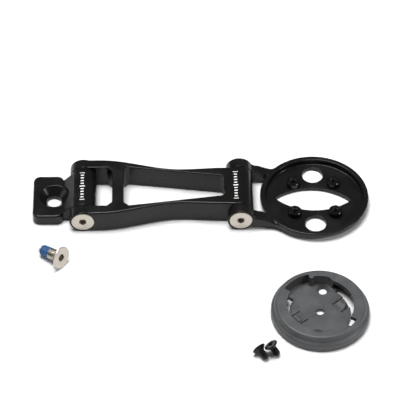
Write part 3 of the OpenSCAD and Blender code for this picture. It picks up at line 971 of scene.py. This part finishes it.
# %% Make the patch
patch_from, patch_to = -6.0, -11.1
step = m5_pitch / 8
rows = int((patch_from - patch_to) / step)
coat_root_r, coat_thread, coat_inner_r = 2.16, 0.37, 1.9
sleeve = [(coat_root_r, patch_from - k * step, min(1, k / 5, (rows - k) / 5)) for k in range(rows + 1)]
sleeve += [(coat_inner_r, patch_to + 0.15), (coat_inner_r, patch_from - 0.15)]
patch = lathe("nylon_patch", sleeve, 96, m5_pitch, coat_thread)
settle(patch, "loose_bolt", patch_finish, ["thread_lock_patch"], loose_bolt_pose)

# %% [markdown]
# ## The insert
# The insert is moulded in one, with thin lips that a computer's tabs turn under. Its opening is a
# circle whose radius changes as it goes round, the same on both sides: a narrow stretch under a
# lip, a notch, a small bump and a wide stretch for a tab. The turn of the whole insert on the
# table is read from the axis that a tongue flexes about.

# %% Lay out the insert
skirt_r, cap_r, insert_h, insert_floor = 21.05, 19.6, 7.0, 1.8
lip_r, lip_under, lip_from, lip_to = 14.3, 4.9, -22, 72
notch_r, notch_from, notch_to, bump_r, bump_to, tab_r = 15.8, 86, 107, 14.9, 113, 17.3
slot_in, slot_out, slot_from, slot_to = 13.1, 16.4, -25, 66
tongue_turn, tongue_root, tongue_w = 47, 6.75, 6.0
flex = joints["tongue_flex_1"]["axis"]
insert_turn = degrees(atan2(flex[1], flex[0])) - 90 - tongue_turn
insert_spot = Matrix.Translation(place_of(mounts["insert_screw_holes"]))
insert_place = insert_spot @ Matrix.Rotation(radians(insert_turn), 4, "Z")
screw_circle = mounts["insert_screw_holes"]["dims"]["pcd_mm"]
print(f"the insert is turned by {insert_turn:.1f} degrees")


def sector(inner_r, outer_r, start, stop, steps=24):
    """The outline of part of a ring."""
    near = arc(0, 0, inner_r, stop, start, steps) if inner_r else [(0, 0)]
    return arc(0, 0, outer_r, start, stop, steps) + near


def opening():
    """The bayonet opening, one softened corner at each sudden change of radius."""
    spans = [(lip_r, lip_from, lip_to), (notch_r, notch_from, notch_to), (bump_r, notch_to, bump_to),
             (tab_r, bump_to, lip_from + 180)]
    corners = []
    for turn in (0, 180):
        for radius, start, stop in spans:
            count = max(1, round((stop - start) / 4))
            run = arc(0, 0, radius, start + turn, stop + turn, count)
            sharp = [start != notch_from] + [False] * (count - 1) + [stop != lip_to]
            corners += [(x, y, 0.3 if corner else 0) for (x, y), corner in zip(run, sharp)]
            if stop == lip_to:
                for share in (0.15, 0.3, 0.45, 0.6, 0.75, 0.9):
                    ramp_r = lip_r + (notch_r - lip_r) * (1 - cos(pi * share)) / 2
                    ramp_turn = radians(turn + lip_to + (notch_from - lip_to) * share)
                    corners.append((ramp_r * cos(ramp_turn), ramp_r * sin(ramp_turn), 0))
    return soften(corners, 4)


print("the opening's outline has", len(opening()), "points")

# %% Make the insert
floor_over = insert_floor + 0.3
insert_profile = soften([
    (0, 0.3, 0), (19.2, 0.3, 0), (19.2, 0, 0.1), (skirt_r, 0, 0.35), (skirt_r, 3.6, 1.0), (cap_r, 4.7, 0.8),
    (cap_r, insert_h, 1.4), (0, insert_h, 0)], 8, closed=False)
insert = lathe("moulded_insert", insert_profile, 192)
screw_spots = {way: Matrix.Translation((0, way * screw_circle / 2, 0)) for way in (-1, 1)}
pads = [moved(rounded_rod("pad", 4.4, 0, 1, 0.1, 0, 64), spot) for spot in screw_spots.values()]
combine(insert, "UNION", pads)

tools = [prism("opening", opening(), insert_floor + 1, insert_h + 0.01, 0, -0.22, beyond=1)]
for turn in (0, 180):
    under_lip = sector(0, tab_r, lip_from + turn - 1, lip_to + turn + 1)
    groove = prism("groove", under_lip, insert_floor, lip_under)
    slot_cut = prism("slot", sector(slot_in, slot_out, slot_from + turn, slot_to + turn), -1, floor_over)
    tongue_gap = [(tongue_root, -tongue_w), (slot_in + 0.3, -tongue_w), (slot_in + 0.3, 0), (tongue_root, 0)]
    spin = Matrix.Rotation(radians(tongue_turn + turn), 4, "Z")
    gap_cut = moved(prism("tongue_gap", tongue_gap, -1, floor_over), spin)
    hole = [(0, -1), (1.7, -1), (1.7, 0.4), (3.1, insert_floor), (3.1, floor_over), (0, floor_over)]
    hole_cut = moved(lathe("screw_hole", hole, 72), screw_spots[1 if turn == 0 else -1])
    tools += [groove, slot_cut, gap_cut, hole_cut]
tools.append(rounded_rod("centre_hole", 1.8, -1, floor_over, 0, 0, 64))
combine(insert, "DIFFERENCE", tools)
break_edges(insert, 0.1)
moved(insert, insert_place)
settle(insert, "insert", nylon_finish, ["insert_body"])

# %% [markdown]
# ## The spring tongues
# Each tongue is a thin strip of the floor, freed on three sides, with a wedge that clicks into
# the computer's back. It is its own piece here, because it bends on its own. The gap at its root
# is only as wide as the pressed tongue needs, so that it doesn't enter the floor.

# %% Make the tongues
tongue_t, slit, root_gap = 1.0, 0.5, 0.08
tip_r, low_side, high_side = slot_in - slit, slit - tongue_w, -slit
tip = [(x, y) for x, y in arc(0, 0, tip_r, -27, 0, 8) if low_side < y < high_side]
strip = [(tongue_root + root_gap, low_side), (sqrt(tip_r**2 - low_side**2), low_side)]
strip += tip + [(sqrt(tip_r**2 - high_side**2), high_side), (tongue_root + root_gap, high_side)]
for i in (0, 1):
    tongue = prism(f"spring_tongue_{i + 1}", strip, insert_floor - tongue_t, insert_floor, 0, 0.08)
    wedge = [(1.6, -0.4, 0), (4.3, -0.4, 0), (4.3, 0.7, 0.15), (3.1, 0.7, 0.3), (1.6, 0, 0)]
    ridge = prism("ridge", soften(wedge, 4), 1, 5, 0.12, 0.12)
    moved(ridge, Matrix.Translation((tongue_root, 0, insert_floor)) @ lay_on_side)
    combine(tongue, "UNION", [ridge])
    moved(tongue, insert_place @ Matrix.Rotation(radians(tongue_turn + 180 * i), 4, "Z"))
    settle(tongue, f"tongue_{i + 1}", nylon_finish, [f"insert_tongue_{i + 1}"])

# %% [markdown]
# ## The washers
# The four thin washers stay as their CAD solids, because a flat ring has nothing to add, and they
# get the bronze finish.

# %% Finish the washers
for hinge in ("base", "head"):
    for side in ("near", "far"):
        washer = frame["nodes"][f"{hinge}_hinge_washer_{side}"]
        washer.data.materials.clear()
        washer.data.materials.append(bronze_finish)
print("washers finished")

# %% [markdown]
# ## The table, the light and the camera
# The object lies on a pale table under soft studio light. Black parts are drawn by what they
# reflect, so the lights are placed for their reflections: a broad one overhead that whitens the
# table, a low one on the right that puts a bright wedge in the countersink, and a weaker one on
# the left that draws the edges on that side. The camera looks down at about 46 degrees through a
# long lens, which keeps the near and far sides almost the same size.

# %% Floor
floor_half = 1.5
table_drop = 0.0001
floor_ring = [(-1, -1), (1, -1), (1, 1), (-1, 1)]
floor_points = [(x * floor_half, y * floor_half, 0) for x, y in floor_ring]
floor = new_piece("floor", floor_points, [(0, 1, 2, 3)])
floor.location.z = -table_drop
floor_material, tree, shader = new_material("pale_table", Roughness=0.7)
shader.inputs["Base Color"].default_value = (0.9, 0.9, 0.9, 1)
floor.data.materials.append(floor_material)
floor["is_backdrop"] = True
print(f"the table is {2 * floor_half} m across")

# %% Lights
bpy.context.scene.view_settings.view_transform = "Standard"
world = bpy.data.worlds.new("studio")
world.use_nodes = True
world.node_tree.nodes["Background"].inputs["Color"].default_value = (1, 1, 1, 1)
world.node_tree.nodes["Background"].inputs["Strength"].default_value = 0.12
bpy.context.scene.world = world


def softbox(name, place, target, width, height, power):
    """A rectangular light that faces a point."""
    light = bpy.data.lights.new(name, "AREA")
    light.shape = "RECTANGLE"
    light.size, light.size_y, light.energy = width, height, power
    lamp = bpy.data.objects.new(name, light)
    bpy.context.scene.collection.objects.link(lamp)
    lamp.location = place
    lamp.rotation_euler = (Vector(target) - Vector(place)).to_track_quat("-Z", "Y").to_euler()


middle = (0.06, -0.03, 0)
softbox("overhead", (-0.05, 0.06, 0.9), middle, 0.5, 0.5, 10.5)
softbox("left", (-0.8, 0.0, 0.38), middle, 0.35, 0.3, 0.6)
softbox("right", (0.86, -0.28, 0.46), middle, 0.18, 0.18, 2.8)
print("lights:", len(bpy.data.lights))

# %% Camera
azimuth, elevation, roll = radians(-1.505), radians(46.549), radians(0.536)
distance = 1.0756
looks_at = Vector((0.06474, -0.00292, 0.005))
back = Vector((sin(azimuth) * cos(elevation), -cos(azimuth) * cos(elevation), sin(elevation)))
level = Vector((cos(azimuth), sin(azimuth), 0))
level_up = back.cross(level)
right = cos(roll) * level + sin(roll) * level_up
up = back.cross(right)
camera_data = bpy.data.cameras.new("camera")
camera_data.lens, camera_data.sensor_width = 218.4, 36
camera = bpy.data.objects.new("camera", camera_data)
facing = Matrix((right, up, back)).transposed().to_4x4()
camera.matrix_world = Matrix.Translation(looks_at + back * distance) @ facing
bpy.context.scene.collection.objects.link(camera)
bpy.context.scene.camera = camera
print(f"the camera is {distance} m away and looks down at {degrees(elevation):.1f} degrees")

# %% [markdown]
# ## The overall size
# The pieces replaced plain solids, so their overall box has to stay that of the CAD model. This
# box is made from the corners of each piece's own box.

# %% Print the sizes
visual_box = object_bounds()


def plain(box):
    """A box as plain lists of numbers."""
    return [[float(v) for v in corner] for corner in box]


{"cad": plain(cad_box), "visual": plain(visual_box)}
print("CAD box", plain(cad_box), "visual box", plain(visual_box))
